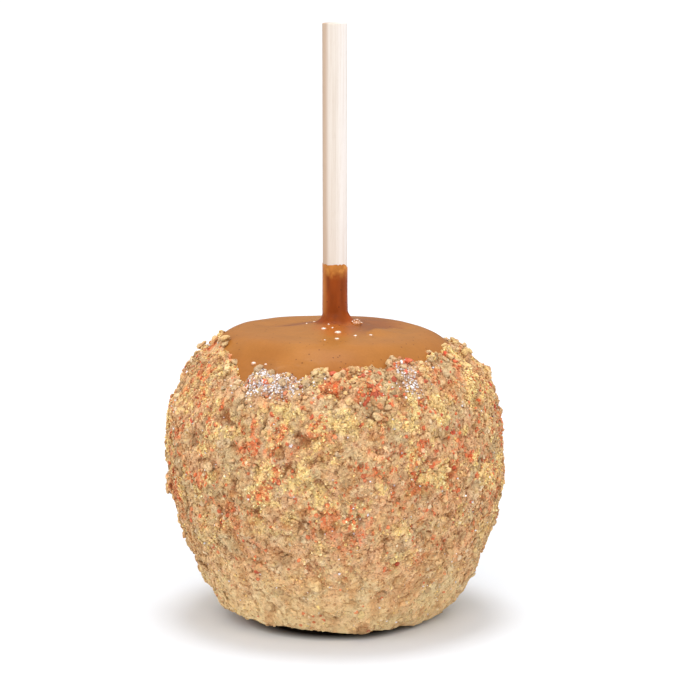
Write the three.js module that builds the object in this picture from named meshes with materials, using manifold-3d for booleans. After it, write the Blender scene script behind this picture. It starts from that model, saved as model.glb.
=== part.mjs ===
// A caramel apple on a wooden stick, its sides and bottom rolled in biscuit crumbs.
//
// Millimetres, +Z up. The origin is the middle of the flat spot the apple stands on, on the stick's axis.
// Three solids: the caramel-covered apple with the collar of caramel that climbs the stick, the crust of
// crumbs that cups it from below, and the stick.

import * as THREE from 'three';
import { mergeVertices } from 'three/addons/utils/BufferGeometryUtils.js';
import Module from 'manifold-3d';

// ---------------------------------------------------------------- driving dimensions

const STICK_RADIUS = 3.175; // a quarter-inch dowel
const STICK_LENGTH = 139.7; // five and a half inches
const STICK_TOP = 152.7;
const STICK_BEVEL = 0.3;
const STICK_SIDES = 24;

const APPLE_BASE_RADIUS = 24.3; // where the underside starts to turn up
const APPLE_BELLY_RADIUS = 41.3;
const APPLE_BELLY_HEIGHT = 41.6;
const APPLE_CREST_RADIUS = 24.2; // the ring where the top is highest
const APPLE_CREST_HEIGHT = 74.7;
const LOWER_FULLNESS = { rise: 1.55, spread: 1.52 }; // superellipse powers; 2 is a plain ellipse
const UPPER_FULLNESS = { rise: 2.1, spread: 1.45 };

const POOL_DROP = 0.5; // caramel round the stick lies this far under the crest
const POOL_RADIUS = 6.4;
const FLARE_HEIGHT = 5.4; // the caramel sweeps up from the pool into the collar over this height
const COLLAR_RADIUS = 3.72;
const COLLAR_TOP = 91.2;
const COLLAR_SCALLOPS = 7;
const COLLAR_SCALLOP_DEPTH = 0.45;
const STICK_GAP = 0.16; // between the stick and the caramel

const CRUST_GAP = 0.3; // between the caramel and the crumbs
const CRUST_THICKNESS = 1.8;
const CRUST_ROUGHNESS = 0.75; // how far the crust's own surface wanders in and out
const CRUST_EDGE_HEIGHT = 69.6; // mean height of the crumbs' upper edge
const CRUST_EDGE_TAPER = 5; // height over which the crust thins out at that edge
const CRUST_SHOULDER_EXTRA = 0.6; // crumbs pile up a little thicker on the shoulder
const CRUST_SHOULDER_HEIGHT = 61;
const CRUST_SHOULDER_SPAN = 9; // and fade over this height above and below it
const CRUST_BARE_DIP = 0.45; // past its edge the crust's face dives this share of its thickness under

// What makes the fruit less than perfectly round.
const LOBES = 5;
const LOBE_DEPTH = 0.45;
const LEAN = 0.9; // the foot sits this far to +X of the stick, and the shoulders as far to -X
const SIDE_TILT = 0.4; // the -X shoulder stands higher than the +X one by twice this

// Hollows in the caramel top beside the stick: middle, half widths and depth.
const HOLLOWS = [
  { x: 9.5, y: 5.5, across: 14, along: 10, depth: 1.7 },
  { x: -10, y: 5, across: 12, along: 8, depth: 0.6 },
];

// Tongues and bays of the crumbs' upper edge: direction in degrees from +X, half width in degrees and
// how much higher (or lower) the edge runs there.
const EDGE_TONGUES = [
  { at: 180, width: 20, rise: 3.8 },
  { at: 228, width: 9, rise: -4.4 },
  { at: 250, width: 12, rise: -1.6 },
  { at: 256, width: 5, rise: -1.6 },
  { at: 300, width: 14, rise: 1.0 },
  { at: 345, width: 24, rise: 1.8 },
  { at: 40, width: 12, rise: -2.2 },
  { at: 95, width: 20, rise: 1.6 },
  { at: 132, width: 9, rise: -2.6 },
];

// Clumps of crumbs standing on the crust, largest first: how many, and their half size.
const CLUMP_SIZES = [
  { count: 12, radius: 4.6 },
  { count: 38, radius: 3.6 },
  { count: 51, radius: 2.7 },
];
const CLUMP_SQUASH = 0.44; // a clump's depth against its width
const CLUMP_SINK = 0.25; // share of that depth that its middle lies under the crust's face
const CLUMP_LOWEST = 6; // no clump below this height
const CLUMP_FOOTING = 0.6; // a clump needs this share of the crust's thickness under it
const RANDOM_SEED = 20;

const APPLE_SEGMENTS = 42;
const APPLE_RINGS = { lower: 9, upper: 11, top: 5, flare: 4, collar: 1 };
const CRUST_DETAIL = 12; // how finely the crust's ball is divided
const SMOOTH_RINGS = { lower: 60, upper: 60 };
const LID_DEPTH = 8; // the crust's blank closes this far under the crest, where it is cut away
const LIFT_OFF = 0.25; // the crust beside the flat spot is at least this far off the floor

// ---------------------------------------------------------------- small tools

const { PI, sin, cos, hypot, atan2 } = Math;
const { clamp, degToRad, lerp, smoothstep } = THREE.MathUtils;

const wasm = await Module();
wasm.setup();

/** A repeatable random number maker (mulberry32). */
function randomFrom(seed) {
  let state = seed;
  return () => {
    state = (state + 0x6d2b79f5) | 0;
    let mixed = Math.imul(state ^ (state >>> 15), 1 | state);
    mixed = (mixed + Math.imul(mixed ^ (mixed >>> 7), 61 | mixed)) ^ mixed;
    return ((mixed ^ (mixed >>> 14)) >>> 0) / 4294967296;
  };
}

/** The same geometry as a closed mesh: corners shared, positions only, no collapsed triangles. */
function closed(geometry) {
  geometry.deleteAttribute('normal');
  geometry.deleteAttribute('uv');
  const merged = mergeVertices(geometry, 1e-3);
  const corners = merged.index.array;
  const kept = [];
  for (let i = 0; i < corners.length; i += 3) {
    const [a, b, c] = corners.slice(i, i + 3);
    if (a !== b && b !== c && c !== a) kept.push(a, b, c);
  }
  merged.setIndex(kept);
  return merged;
}

/** Turns an outline of Vector2(radius, height) about Z, and moves each vertex with shape(vertex, ring). */
function turned(outline, segments, shape) {
  const geometry = new THREE.LatheGeometry(outline, segments);
  geometry.rotateX(PI / 2);
  const place = geometry.attributes.position;
  const vertex = new THREE.Vector3();
  for (let i = 0; i < place.count; i += 1) {
    vertex.fromBufferAttribute(place, i);
    shape(vertex, i % outline.length);
    place.setXYZ(i, vertex.x, vertex.y, vertex.z);
  }
  return closed(geometry);
}

function solidOf(geometry) {
  return new wasm.Manifold(
    new wasm.Mesh({
      numProp: 3,
      vertProperties: new Float32Array(geometry.attributes.position.array),
      triVerts: new Uint32Array(geometry.index.array),
    }),
  );
}

function geometryOf(solid) {
  const { vertProperties, triVerts } = solid.getMesh();
  const geometry = new THREE.BufferGeometry();
  geometry.setAttribute('position', new THREE.BufferAttribute(vertProperties, 3));
  geometry.setIndex(new THREE.BufferAttribute(triVerts, 1));
  return geometry;
}

function named(name, geometry, material) {
  const shown = geometry.clone();
  shown.computeVertexNormals();
  const mesh = new THREE.Mesh(shown, material);
  mesh.name = name;
  return mesh;
}

// ---------------------------------------------------------------- the fruit's form

/** One quarter of a superellipse as a curve, from its flat end to its upright end or back. */
class QuarterRound extends THREE.Curve {
  constructor(from, to, fullness, flatFirst) {
    super();
    Object.assign(this, { from, to, fullness, flatFirst });
  }

  getPoint(t) {
    const angle = (t * PI) / 2;
    const { rise, spread } = this.fullness;
    const across = this.flatFirst ? sin(angle) ** (2 / spread) : 1 - cos(angle) ** (2 / spread);
    const up = this.flatFirst ? 1 - cos(angle) ** (2 / rise) : sin(angle) ** (2 / rise);
    return new THREE.Vector2(lerp(this.from.x, this.to.x, across), lerp(this.from.y, this.to.y, up));
  }
}

const APPLE_BASE_HEIGHT = CRUST_GAP + CRUST_THICKNESS;
const UNDERSIDE = new THREE.Vector2(APPLE_BASE_RADIUS, APPLE_BASE_HEIGHT);
const BELLY = new THREE.Vector2(APPLE_BELLY_RADIUS, APPLE_BELLY_HEIGHT);
const CREST = new THREE.Vector2(APPLE_CREST_RADIUS, APPLE_CREST_HEIGHT);

/** Points evenly spread from the underside's flat over the belly to the crest. */
function sideOutline(rings) {
  const lower = new QuarterRound(UNDERSIDE, BELLY, LOWER_FULLNESS, true).getSpacedPoints(rings.lower);
  const upper = new QuarterRound(BELLY, CREST, UPPER_FULLNESS, false).getSpacedPoints(rings.upper);
  return [...lower, ...upper.slice(1)];
}

/** For each point of the side outline, the unit direction straight out of the surface. */
function outwardOf(outline) {
  return outline.map((point, i) => {
    if (i === 0) return new THREE.Vector2(0, -1);
    if (i === outline.length - 1) return new THREE.Vector2(0, 1);
    const along = outline[i + 1].clone().sub(outline[i - 1]);
    return new THREE.Vector2(along.y, -along.x).normalize();
  });
}

/** The caramel's top from the crest in to the flare, up the collar and down the stick's socket. */
function topOutline(rings) {
  const points = [];
  const poolHeight = APPLE_CREST_HEIGHT - POOL_DROP;
  for (let i = 1; i <= rings.top; i += 1) {
    const inward = i / rings.top;
    const radius = lerp(APPLE_CREST_RADIUS, POOL_RADIUS, inward);
    points.push(new THREE.Vector2(radius, APPLE_CREST_HEIGHT - POOL_DROP * smoothstep(inward, 0, 1)));
  }
  for (let i = 1; i <= rings.flare; i += 1) {
    const angle = (i / rings.flare) * (PI / 2);
    const across = (POOL_RADIUS - COLLAR_RADIUS) * (1 - sin(angle));
    points.push(new THREE.Vector2(COLLAR_RADIUS + across, poolHeight + FLARE_HEIGHT * (1 - cos(angle))));
  }
  const flareTop = poolHeight + FLARE_HEIGHT;
  for (let i = 1; i <= rings.collar; i += 1) {
    points.push(new THREE.Vector2(COLLAR_RADIUS, lerp(flareTop, COLLAR_TOP, i / rings.collar)));
  }
  const socketRadius = STICK_RADIUS + STICK_GAP;
  const socketBottom = STICK_TOP - STICK_LENGTH - CRUST_GAP;
  points.push(
    new THREE.Vector2(socketRadius, COLLAR_TOP),
    new THREE.Vector2(socketRadius, socketBottom),
    new THREE.Vector2(0, socketBottom),
  );
  return points;
}

/** Lobes, lean and uneven shoulders: the same for every surface of the fruit, none near the stick. */
function unround(vertex) {
  const radius = hypot(vertex.x, vertex.y);
  const azimuth = atan2(vertex.y, vertex.x);
  const share = smoothstep(radius, POOL_RADIUS, APPLE_BASE_RADIUS);
  const height = vertex.z / APPLE_CREST_HEIGHT;
  const lobe = LOBE_DEPTH * cos(LOBES * azimuth + 0.6) * (1.25 - 0.75 * height);
  const wave = 0.35 * LOBE_DEPTH * sin(2 * azimuth + 3 * height);
  const scale = 1 + ((lobe + wave) * share) / APPLE_BELLY_RADIUS;
  vertex.x = vertex.x * scale + LEAN * (1 - 2 * height) * share;
  vertex.y *= scale;
  const raised = smoothstep(height, 0.6, 1) * smoothstep(radius, POOL_RADIUS, APPLE_CREST_RADIUS);
  vertex.z -= SIDE_TILT * cos(azimuth) * raised;
}

/** The hollows in the caramel top; the collar and its socket stay as they are. */
function sink(vertex) {
  const radius = hypot(vertex.x, vertex.y);
  const open = smoothstep(radius, COLLAR_RADIUS, POOL_RADIUS + 2);
  for (const { x, y, across, along, depth } of HOLLOWS) {
    const away = hypot((vertex.x - x) / across, (vertex.y - y) / along);
    vertex.z -= depth * open * (1 - smoothstep(away, 0, 1));
  }
}

// ---------------------------------------------------------------- the caramel-covered apple

function caramelApple() {
  const side = sideOutline(APPLE_RINGS);
  const top = topOutline(APPLE_RINGS);
  const outline = [new THREE.Vector2(0, APPLE_BASE_HEIGHT), ...side, ...top];
  const collarLip = outline.length - 4; // the outer corner of the collar's top, then its inner corner
  return turned(outline, APPLE_SEGMENTS, (vertex, ring) => {
    const azimuth = atan2(vertex.y, vertex.x);
    const onTop = ring > side.length - APPLE_RINGS.upper && ring < collarLip;
    unround(vertex);
    if (onTop) sink(vertex);
    if (ring === collarLip || ring === collarLip + 1) {
      vertex.z -= COLLAR_SCALLOP_DEPTH * (0.5 + 0.5 * cos(COLLAR_SCALLOPS * azimuth));
    }
  });
}

// ---------------------------------------------------------------- the crumb crust

const TURN = 2 * PI;

/** Height of the crumbs' upper edge in a direction from the stick. */
function edgeHeight(azimuth) {
  let height = CRUST_EDGE_HEIGHT;
  for (const { at, width, rise } of EDGE_TONGUES) {
    const turn = azimuth - degToRad(at);
    const away = Math.abs(turn - TURN * Math.round(turn / TURN)) / degToRad(width);
    height += rise * Math.exp(-away * away);
  }
  return height + 0.5 * sin(17 * azimuth) + 0.4 * sin(29 * azimuth + 1);
}

/** How thick the crust is at a height and direction; below zero above its edge. */
function crustThickness(height, azimuth) {
  const below = (edgeHeight(azimuth) - height) / CRUST_EDGE_TAPER;
  const shoulder = (height - CRUST_SHOULDER_HEIGHT) / CRUST_SHOULDER_SPAN;
  const full = CRUST_THICKNESS + CRUST_SHOULDER_EXTRA * Math.exp(-shoulder * shoulder);
  return full * (below < 0 ? -CRUST_BARE_DIP : Math.sqrt(Math.min(below, 1)));
}

/** One clump lying flat at the origin, no two alike. */
function clump(radius, random) {
  const lump = closed(new THREE.OctahedronGeometry(radius, 1));
  const place = lump.attributes.position;
  for (let i = 0; i < place.count; i += 1) {
    const stretch = lerp(0.78, 1.18, random());
    place.setXYZ(i, place.getX(i) * stretch, place.getY(i) * stretch, place.getZ(i) * stretch * CLUMP_SQUASH);
  }
  return lump;
}

/** Evenly spread places on the crust, by the golden angle and with a seeded wander. */
function clumpPlaces(count, start, random) {
  const golden = PI * (3 - Math.sqrt(5));
  const places = [];
  for (let i = 0; i < count; i += 1) {
    const share = (i + 0.5) / count;
    places.push({
      height: lerp(CLUMP_LOWEST, CRUST_EDGE_HEIGHT - 1, clamp(share + (random() - 0.5) / count, 0, 1)),
      azimuth: start + i * golden + (random() - 0.5) * 0.35,
    });
  }
  return places;
}

/** The side outline as one smooth path: at a share of its length, the point and the direction out of it. */
function smoothSide() {
  const side = sideOutline(SMOOTH_RINGS);
  const outward = outwardOf(side);
  const length = side.reduce((sum, point, i) => sum + (i ? point.distanceTo(side[i - 1]) : 0), 0);
  const at = (share) => {
    const place = clamp(share, 0, 1) * (side.length - 1);
    const before = Math.min(Math.floor(place), side.length - 2);
    const between = place - before;
    return {
      point: side[before].clone().lerp(side[before + 1], between),
      outward: outward[before].clone().lerp(outward[before + 1], between).normalize(),
    };
  };
  const shareAtHeight = (height) => side.findIndex((point) => point.y >= height) / (side.length - 1);
  return { at, shareAtHeight, length };
}

/** A point on the crust's face: its place out from the apple, before the fruit's unevenness. */
function crustFace({ point, outward }, azimuth, extra) {
  const thickness = crustThickness(point.y, azimuth) + extra;
  return point.clone().addScaledVector(outward, CRUST_GAP + thickness);
}

function spun(point, azimuth) {
  return new THREE.Vector3(point.x * cos(azimuth), point.x * sin(azimuth), point.y);
}

/** The crust before its clumps: a ball wrapped onto the outline, its lid inside the apple's top. */
function crustBlank(side, random) {
  const ball = closed(new THREE.IcosahedronGeometry(1, CRUST_DETAIL));
  const place = ball.attributes.position;
  const lid = new THREE.Vector2(0, APPLE_CREST_HEIGHT - LID_DEPTH);
  const total = APPLE_BASE_RADIUS + side.length + APPLE_CREST_RADIUS;
  const vertex = new THREE.Vector3();
  for (let i = 0; i < place.count; i += 1) {
    vertex.fromBufferAttribute(place, i);
    const azimuth = atan2(vertex.y, vertex.x);
    const along = (Math.acos(clamp(-vertex.z, -1, 1)) / PI) * total;
    const share = (along - APPLE_BASE_RADIUS) / side.length;
    const rough = (2 * random() - 1) * CRUST_ROUGHNESS;
    if (share <= 0) {
      vertex.copy(spun(new THREE.Vector2(along, 0), azimuth));
      unround(vertex);
      vertex.z = 0;
    } else {
      const spot = side.at(share);
      const calm = smoothstep(edgeHeight(azimuth) - spot.point.y, 0, CRUST_EDGE_TAPER);
      const face = crustFace(spot, azimuth, rough * calm);
      face.y = Math.max(face.y, LIFT_OFF);
      if (share > 1) face.lerp(lid, (along - APPLE_BASE_RADIUS - side.length) / APPLE_CREST_RADIUS);
      vertex.copy(spun(face, azimuth));
      unround(vertex);
    }
    place.setXYZ(i, vertex.x, vertex.y, vertex.z);
  }
  return ball;
}

function crumbCoat() {
  const random = randomFrom(RANDOM_SEED);
  const side = smoothSide();
  let solid = solidOf(crustBlank(side, random));
  const up = new THREE.Vector3(0, 0, 1);
  const turn = new THREE.Quaternion();
  const roll = new THREE.Quaternion();
  CLUMP_SIZES.forEach(({ count, radius }, size) => {
    for (const { height, azimuth } of clumpPlaces(count, 0.7 + 1.9 * size, random)) {
      const lump = clump(radius * lerp(0.85, 1.15, random()), random);
      roll.setFromAxisAngle(up, random() * TURN);
      if (crustThickness(height, azimuth) < CLUMP_FOOTING * CRUST_THICKNESS) continue;
      const spot = side.at(side.shareAtHeight(height));
      const middle = spun(crustFace(spot, azimuth, -CLUMP_SINK * radius * CLUMP_SQUASH), azimuth);
      unround(middle);
      turn.setFromUnitVectors(up, spun(spot.outward, azimuth)).multiply(roll);
      lump.applyQuaternion(turn);
      lump.translate(middle.x, middle.y, middle.z);
      solid = solid.add(solidOf(lump));
    }
  });
  return geometryOf(solid.subtract(solidOf(grownApple())));
}

/** The apple's side and crest, larger all round by the gap that the crumbs keep from it. */
function grownApple() {
  const side = sideOutline(APPLE_RINGS);
  const outward = outwardOf(side);
  const grown = side.map((point, i) => point.clone().addScaledVector(outward[i], CRUST_GAP));
  const outline = [new THREE.Vector2(0, grown[0].y), ...grown, new THREE.Vector2(0, grown.at(-1).y)];
  return turned(outline, APPLE_SEGMENTS, unround);
}

// ---------------------------------------------------------------- the stick

function dowel() {
  const foot = STICK_TOP - STICK_LENGTH;
  const rim = STICK_RADIUS - STICK_BEVEL;
  const outline = [
    [0, foot],
    [rim, foot],
    [STICK_RADIUS, foot + STICK_BEVEL],
    [STICK_RADIUS, STICK_TOP - STICK_BEVEL],
    [rim, STICK_TOP],
    [0, STICK_TOP],
  ].map(([radius, height]) => new THREE.Vector2(radius, height));
  return turned(outline, STICK_SIDES, () => {});
}

// ---------------------------------------------------------------- materials and assembly

const caramel = new THREE.MeshStandardMaterial({ color: 0xc08448, roughness: 0.25, metalness: 0 });
const crumb = new THREE.MeshStandardMaterial({ color: 0xcda878, roughness: 0.85, metalness: 0 });
const birch = new THREE.MeshStandardMaterial({ color: 0xf2e2cf, roughness: 0.6, metalness: 0 });

const apple = new THREE.Group();
apple.add(
  named('caramel_apple', caramelApple(), caramel),
  named('crumb_coat', crumbCoat(), crumb),
  named('stick', dowel(), birch),
);

export default apple;
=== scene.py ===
"""A caramel apple rolled in biscuit crumbs: its looks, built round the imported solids.

Lengths here are millimetres in the solids' own frame. MM turns them into metres where a mesh, a lamp or the
camera is made. Colours are written as a screen shows them and turned linear by linear(). Shades, which
multiply a colour, are shares of linear light.
"""

from functools import partial
from math import pi, radians, tau

import bmesh
import bpy
import numpy as np
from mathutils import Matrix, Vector
from mathutils.bvhtree import BVHTree


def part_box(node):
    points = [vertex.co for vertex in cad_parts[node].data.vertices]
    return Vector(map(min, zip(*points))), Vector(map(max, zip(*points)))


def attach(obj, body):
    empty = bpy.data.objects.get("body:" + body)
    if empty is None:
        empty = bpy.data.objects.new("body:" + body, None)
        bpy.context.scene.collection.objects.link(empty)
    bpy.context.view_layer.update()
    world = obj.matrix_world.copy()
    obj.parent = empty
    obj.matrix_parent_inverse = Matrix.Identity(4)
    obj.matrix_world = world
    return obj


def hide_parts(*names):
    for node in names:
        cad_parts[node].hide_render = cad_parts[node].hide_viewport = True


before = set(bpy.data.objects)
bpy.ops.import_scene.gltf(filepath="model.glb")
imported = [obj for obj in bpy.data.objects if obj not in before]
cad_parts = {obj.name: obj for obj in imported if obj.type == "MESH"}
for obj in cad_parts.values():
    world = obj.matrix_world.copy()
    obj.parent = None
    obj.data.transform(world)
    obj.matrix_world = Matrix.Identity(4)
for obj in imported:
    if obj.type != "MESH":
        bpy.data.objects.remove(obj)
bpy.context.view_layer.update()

MM = 0.001

# ---------------- driving dimensions, as in the solids

STICK_LOW, STICK_HIGH = (np.array(corner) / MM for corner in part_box("stick"))
STICK_RADIUS = (STICK_HIGH[0] - STICK_LOW[0]) / 2
COAT_LOW, COAT_HIGH = (np.array(corner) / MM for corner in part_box("crumb_coat"))

BASE_RADIUS, BASE_HEIGHT = 24.3, 2.1
BELLY_RADIUS, BELLY_HEIGHT = 41.3, 41.6
CREST_RADIUS, CREST_HEIGHT = 24.2, 74.7
LOWER_RISE, LOWER_SPREAD = 1.55, 1.52
UPPER_RISE, UPPER_SPREAD = 2.1, 1.45
POOL_DROP, POOL_RADIUS = 0.5, 6.4
POOL_HEIGHT = CREST_HEIGHT - POOL_DROP
LOBES, LOBE_DEPTH, LEAN, SIDE_TILT = 5, 0.45, 0.9, 0.4
CRUST_THICKNESS = 1.8

# ---------------- forms of the caramel, after the photograph

# Hollows beside the stick, the right one nearer the front than the solid's: middle x and y, half widths, depth.
HOLLOWS = ((13, 2, 11, 12, 1.2), (-10, 5, 12, 8, 0.6))

# The film of caramel on the stick, thinner than the solid's collar, with a fillet and a low mound at its foot.
COLLAR_TOP = 91.5
FILM_FOOT, FILM_TOP, LIP_THICKNESS = 0.09, 0.05, 0.07
FILLET_REACH, FILLET_HEIGHT = 2.7, 3.4
MOUND_SPAN, MOUND_HEIGHT = (2, 23), 2.1
FOOT_SHIFT = 0.3  # the fillet stands this far to the right
SCALLOPS, SCALLOP_DEPTH = 14, 0.28  # shallow rounds along the film's upper edge
RIGHT_DROP = 1.0  # which hangs this much lower on the right

# A soft lip of caramel to the right of the stick, beyond which the top dips.
CREASE = ((8.5, -11.5), (10.5, -8.0), (13.0, -3.5), (15.7, 1.5), (17.8, 5.0))
CREASE_HEIGHT, CREASE_BEHIND, CREASE_BEFORE = 1.1, 1.4, 4.5

# Where shade is painted into the hollows beside the stick, and where clearer caramel ran down the front: middle
# x and y, half widths.
DIP_SHADES = ((9.0, 5.0, 13.0, 25.0), (-8.5, 3.0, 9.0, 4.5))
APRON = (0.6, -5.0, 7.5, 13.0)

# ---------------- colours, as seen on screen

CARAMEL = (167, 107, 46)
CARAMEL_PALE = (178, 119, 56)
CARAMEL_ORANGE = (182, 98, 38)
CARAMEL_SHOULDER = (158, 94, 38)
# Painted shade for the hollows in the caramel top.
CARAMEL_DIP_SHADE = (138, 80, 46)
CARAMEL_DEEP = (136, 57, 4)
CARAMEL_FILM = (216, 146, 68)
CARAMEL_SPECK = (84, 38, 12)
BUBBLE = (204, 134, 72)
BUBBLE_HIGHLIGHT_AND_FOAM = (250, 232, 214)
CRUST = (206, 170, 120)
BISCUIT_TONES = (
    (220, 172, 122), (208, 164, 112), (230, 194, 144), (202, 166, 122), (222, 176, 130), (212, 182, 126),
)
RIM_TONES = ((214, 186, 142), (226, 200, 156), (206, 176, 132), (240, 210, 140), (218, 176, 128))
ROSY, GREYED = (228, 170, 132), (202, 180, 138)
TOASTED_TONES = ((186, 126, 70), (170, 110, 58), (194, 142, 86))
# Caramel showing between the crumbs, also used as painted shade: crevices are darkened by how deep they lie.
CREVICE_CARAMEL_AND_SHADE = (140, 76, 34)
YELLOW_TONES = ((255, 228, 154), (252, 214, 130), (255, 241, 190))
ORANGE_TONES = ((228, 116, 66), (216, 90, 50), (234, 140, 90))
RED_TONES = ((208, 62, 32), (182, 42, 22), (228, 98, 56))
STAIN = (222, 88, 40)
PALE_TONES = ((230, 206, 168), (222, 196, 156), (238, 220, 188))
# The sugar's own pale colour, raised to stand for glints: partly a painted highlight.
SUGAR_AND_GLINT_TONES = ((252, 246, 246), (240, 232, 234))
WET_TINT = (196, 160, 134)
WOOD = (225, 214, 203)
# Painted shade and light for the stick's left and right sides.
WOOD_SHADE = (194, 168, 146)
WOOD_LIT = (237, 228, 221)
# Paler low down: partly the pressed crumbs' own tone, partly painted light for light bounced up from the floor.
PRESSED_AND_LIT = (252, 226, 170)
FURROW = (206, 157, 104)


def linear(colour):
    """Screen colour from 0 to 255 as linear light."""
    share = np.asarray(colour, float) / 255
    return np.where(share <= 0.04045, share / 12.92, ((share + 0.055) / 1.055) ** 2.4)


def opaque(colour):
    """A screen colour as a shader takes it."""
    return (*linear(colour), 1)


# ---------------- small tools for arrays

def smoothstep(value, low, high):
    share = np.clip((value - low) / (high - low), 0, 1)
    return share * share * (3 - 2 * share)


def lerp(start, end, share):
    return start + (end - start) * share


def unit(vectors):
    return vectors / np.maximum(np.linalg.norm(vectors, axis=-1, keepdims=True), 1e-12)


def bell(value, middle, half):
    """1 in the middle, falling to about a third at half to either side."""
    return np.exp(-(((value - middle) / half) ** 2))


def azimuth_of(points):
    """Each point's direction about the stick, in radians from +X."""
    return np.arctan2(points[..., 1], points[..., 0])


def degrees_from(middle, azimuth):
    """How far round each azimuth lies from the middle, -180 to 180 degrees."""
    return (np.degrees(azimuth) - middle + 180) % 360 - 180


def spread_from(points, middle_x, middle_y, across, along):
    """0 in the middle of an ellipse seen from above, 1 along it."""
    return np.hypot((points[..., 0] - middle_x) / across, (points[..., 1] - middle_y) / along)


def washed(tint, *washes):
    """The linear tint taken in turn towards screen colours, each with a share for each point."""
    for colour, share in washes:
        tint = lerp(tint, linear(colour), share[..., None])
    return tint


def hashed(cell, salt):
    """A repeatable number from 0 to 1 for each whole-number cell (..., 3)."""
    x, y, z = (cell[..., k].astype(np.int64) for k in range(3))
    mixed = (x * 73856093 ^ y * 19349663 ^ z * 83492791 ^ (salt * 40503)) & 0xFFFFFFFF
    mixed = ((mixed ^ (mixed >> 13)) * 1274126177) & 0xFFFFFFFF
    mixed = ((mixed ^ (mixed >> 16)) * 2246822519) & 0xFFFFFFFF
    return (mixed ^ (mixed >> 15)) / 2.0**32


def noise(points, size, salt):
    """Smooth noise from -1 to 1 whose bumps are about size across."""
    scaled = points / size
    cell = np.floor(scaled)
    share = scaled - cell
    share = share * share * (3 - 2 * share)
    total = 0
    for corner in np.ndindex(2, 2, 2):
        weight = np.prod(np.where(corner, share, 1 - share), axis=-1)
        total = total + weight * hashed(cell + corner, salt)
    return 2 * total - 1


def pebbles(points, size, salt):
    """Packed pebbles about size across: height on the pebble and nearness to a joint, each 0 to 1."""
    scaled = points / size
    cell = np.floor(scaled)
    nearest = np.full(points.shape[:-1], 9.0)
    second = nearest.copy()
    for step in np.ndindex(3, 3, 3):
        near = cell + np.array(step) - 1
        middle = near + np.stack([hashed(near, salt + k) for k in range(3)], -1)
        away = np.linalg.norm(scaled - middle, axis=-1)
        second = np.minimum(second, np.maximum(away, nearest))
        nearest = np.minimum(nearest, away)
    return np.sqrt(np.clip(1 - (nearest / 0.85) ** 2, 0, 1)), 1 - smoothstep(second - nearest, 0.0, 0.15)


def evenly(path, count):
    """count points spaced evenly along a path of (radius, height) points."""
    path = np.asarray(path, float)
    length = np.concatenate([[0], np.cumsum(np.hypot(*np.diff(path, axis=0).T))])
    wanted = np.linspace(0, length[-1], count)
    return np.stack([np.interp(wanted, length, path[:, k]) for k in range(2)], -1)


# ---------------- the fruit's form

def quarter(start, end, rise, spread, flat_first):
    """A quarter of a superellipse from start to end; flat_first leaves level and arrives upright."""
    angle = np.linspace(0, pi / 2, 300)
    if flat_first:
        across, up = np.sin(angle) ** (2 / spread), 1 - np.cos(angle) ** (2 / rise)
    else:
        across, up = 1 - np.cos(angle) ** (2 / spread), np.sin(angle) ** (2 / rise)
    return np.stack([lerp(start[0], end[0], across), lerp(start[1], end[1], up)], -1)


def side_path(count):
    """From the underside's flat over the belly to the crest."""
    lower = quarter((BASE_RADIUS, BASE_HEIGHT), (BELLY_RADIUS, BELLY_HEIGHT), LOWER_RISE, LOWER_SPREAD, True)
    upper = quarter((BELLY_RADIUS, BELLY_HEIGHT), (CREST_RADIUS, CREST_HEIGHT), UPPER_RISE, UPPER_SPREAD, False)
    return evenly(np.concatenate([lower, upper[1:]]), count)


def azimuths(columns):
    return np.arange(columns) * tau / columns


def turned(path, columns):
    """The path turned about Z: points (row, column, 3)."""
    azimuth = azimuths(columns)
    radius, height = path[:, :1], path[:, 1:]
    return np.stack([radius * np.cos(azimuth), radius * np.sin(azimuth), height + 0 * azimuth], -1)


def unround(points):
    """Lobes, lean and uneven shoulders, none near the stick."""
    x, y, z = np.moveaxis(points, -1, 0)
    radius, azimuth = np.hypot(x, y), np.arctan2(y, x)
    share = smoothstep(radius, POOL_RADIUS, BASE_RADIUS)
    height = z / CREST_HEIGHT
    lobe = LOBE_DEPTH * np.cos(LOBES * azimuth + 0.6) * (1.25 - 0.75 * height)
    wave = 0.35 * LOBE_DEPTH * np.sin(2 * azimuth + 3 * height)
    scale = 1 + (lobe + wave) * share / BELLY_RADIUS
    raised = smoothstep(height, 0.6, 1) * smoothstep(radius, POOL_RADIUS, CREST_RADIUS)
    return np.stack(
        [x * scale + LEAN * (1 - 2 * height) * share, y * scale, z - SIDE_TILT * np.cos(azimuth) * raised], -1
    )


def hollow_depth(points):
    """How deep the hollows in the caramel top are."""
    opened = smoothstep(np.hypot(points[..., 0], points[..., 1]), STICK_RADIUS + 1, POOL_RADIUS + 8)
    return sum(
        depth * opened * (1 - smoothstep(spread_from(points, *ellipse), 0.35, 1)) for *ellipse, depth in HOLLOWS
    )


def crease_height(points):
    """Height of the lip of caramel over the ground round it."""
    where = points[..., :2]
    line = np.array(CREASE)
    nearest = np.full(where.shape[:-1], 99.0)
    along, width = np.zeros(where.shape[:-1]), np.ones(where.shape[:-1])
    for index, (start, end) in enumerate(zip(line[:-1], line[1:])):
        way = end - start
        share = np.clip(((where - start) @ way) / (way @ way), 0, 1)
        away = np.linalg.norm(where - start - share[..., None] * way, axis=-1)
        closer = away < nearest
        nearest = np.where(closer, away, nearest)
        along = np.where(closer, (index + share) / (len(line) - 1), along)
        behind = way[0] * (where[..., 1] - start[1]) - way[1] * (where[..., 0] - start[0]) > 0
        width = np.where(closer, np.where(behind, CREASE_BEHIND, CREASE_BEFORE), width)
    return CREASE_HEIGHT * bell(nearest, 0, width) * np.sin(pi * along) ** 0.6


def grid_normals(points):
    """Outward directions of a turned grid."""
    along = np.gradient(points, axis=0)
    around = np.roll(points, -1, axis=1) - np.roll(points, 1, axis=1)
    return unit(np.cross(around, along))


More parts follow.
